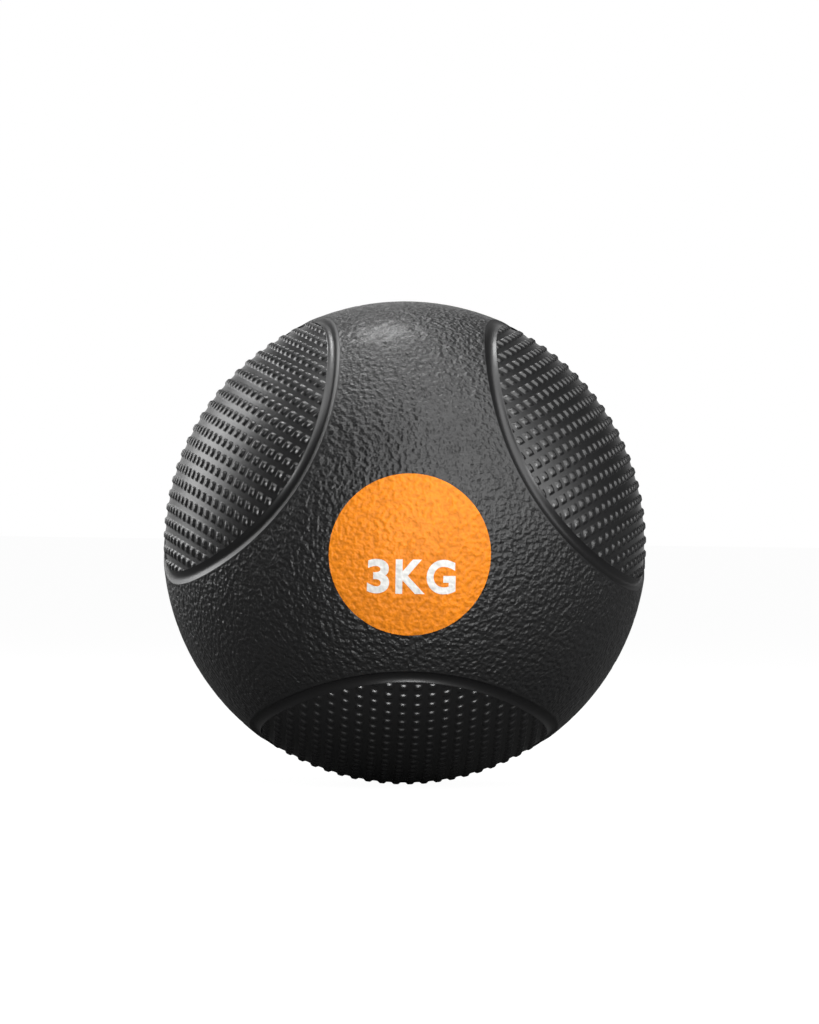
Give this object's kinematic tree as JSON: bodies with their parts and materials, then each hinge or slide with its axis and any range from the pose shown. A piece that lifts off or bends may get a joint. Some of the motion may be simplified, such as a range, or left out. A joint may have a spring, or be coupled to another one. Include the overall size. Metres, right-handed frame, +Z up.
{
  "type": "medicine ball",
  "caption": "Round rubber medicine ball with grooved grip fields, a pebbled web, an orange weight disc and an inflation valve.",
  "frame": {"origin": "centre of the ball", "axes": "+Z up, the weight disc faces -Y, +X is on the right as the disc is read; the valve points up and back at (0, 1/3, 0.943)"},
  "size_m": [0.2298, 0.2296, 0.2295],
  "materials": {
    "cover_rubber": "pebbled matt",
    "grip_rubber": "lugged satin",
    "groove_rubber": "smooth satin",
    "orange_rubber": "pebbled satin",
    "white_rubber": "pebbled satin",
    "carcass_rubber": "raw",
    "nylon_thread": "wound thread",
    "butyl_rubber": "smooth",
    "valve_rubber": "smooth"
  },
  "bodies": {
    "root": {"web_cover": "cover_rubber", "grip_panel_front_left": "grip_rubber", "grip_panel_front_right": "grip_rubber", "grip_panel_bottom": "grip_rubber", "grip_panel_back": "grip_rubber", "groove_strip_front_left": "groove_rubber", "groove_strip_front_right": "groove_rubber", "groove_strip_bottom": "groove_rubber", "groove_strip_back": "groove_rubber", "weight_disc": "orange_rubber", "figure_3": "white_rubber", "figure_k": "white_rubber", "figure_g": "white_rubber", "carcass_valve_half": "carcass_rubber", "carcass_far_half": "carcass_rubber", "winding": "nylon_thread", "bladder": "butyl_rubber", "valve_seat": "butyl_rubber", "valve_core": "valve_rubber", "valve_collar": "groove_rubber"}
  },
  "joints": []
}
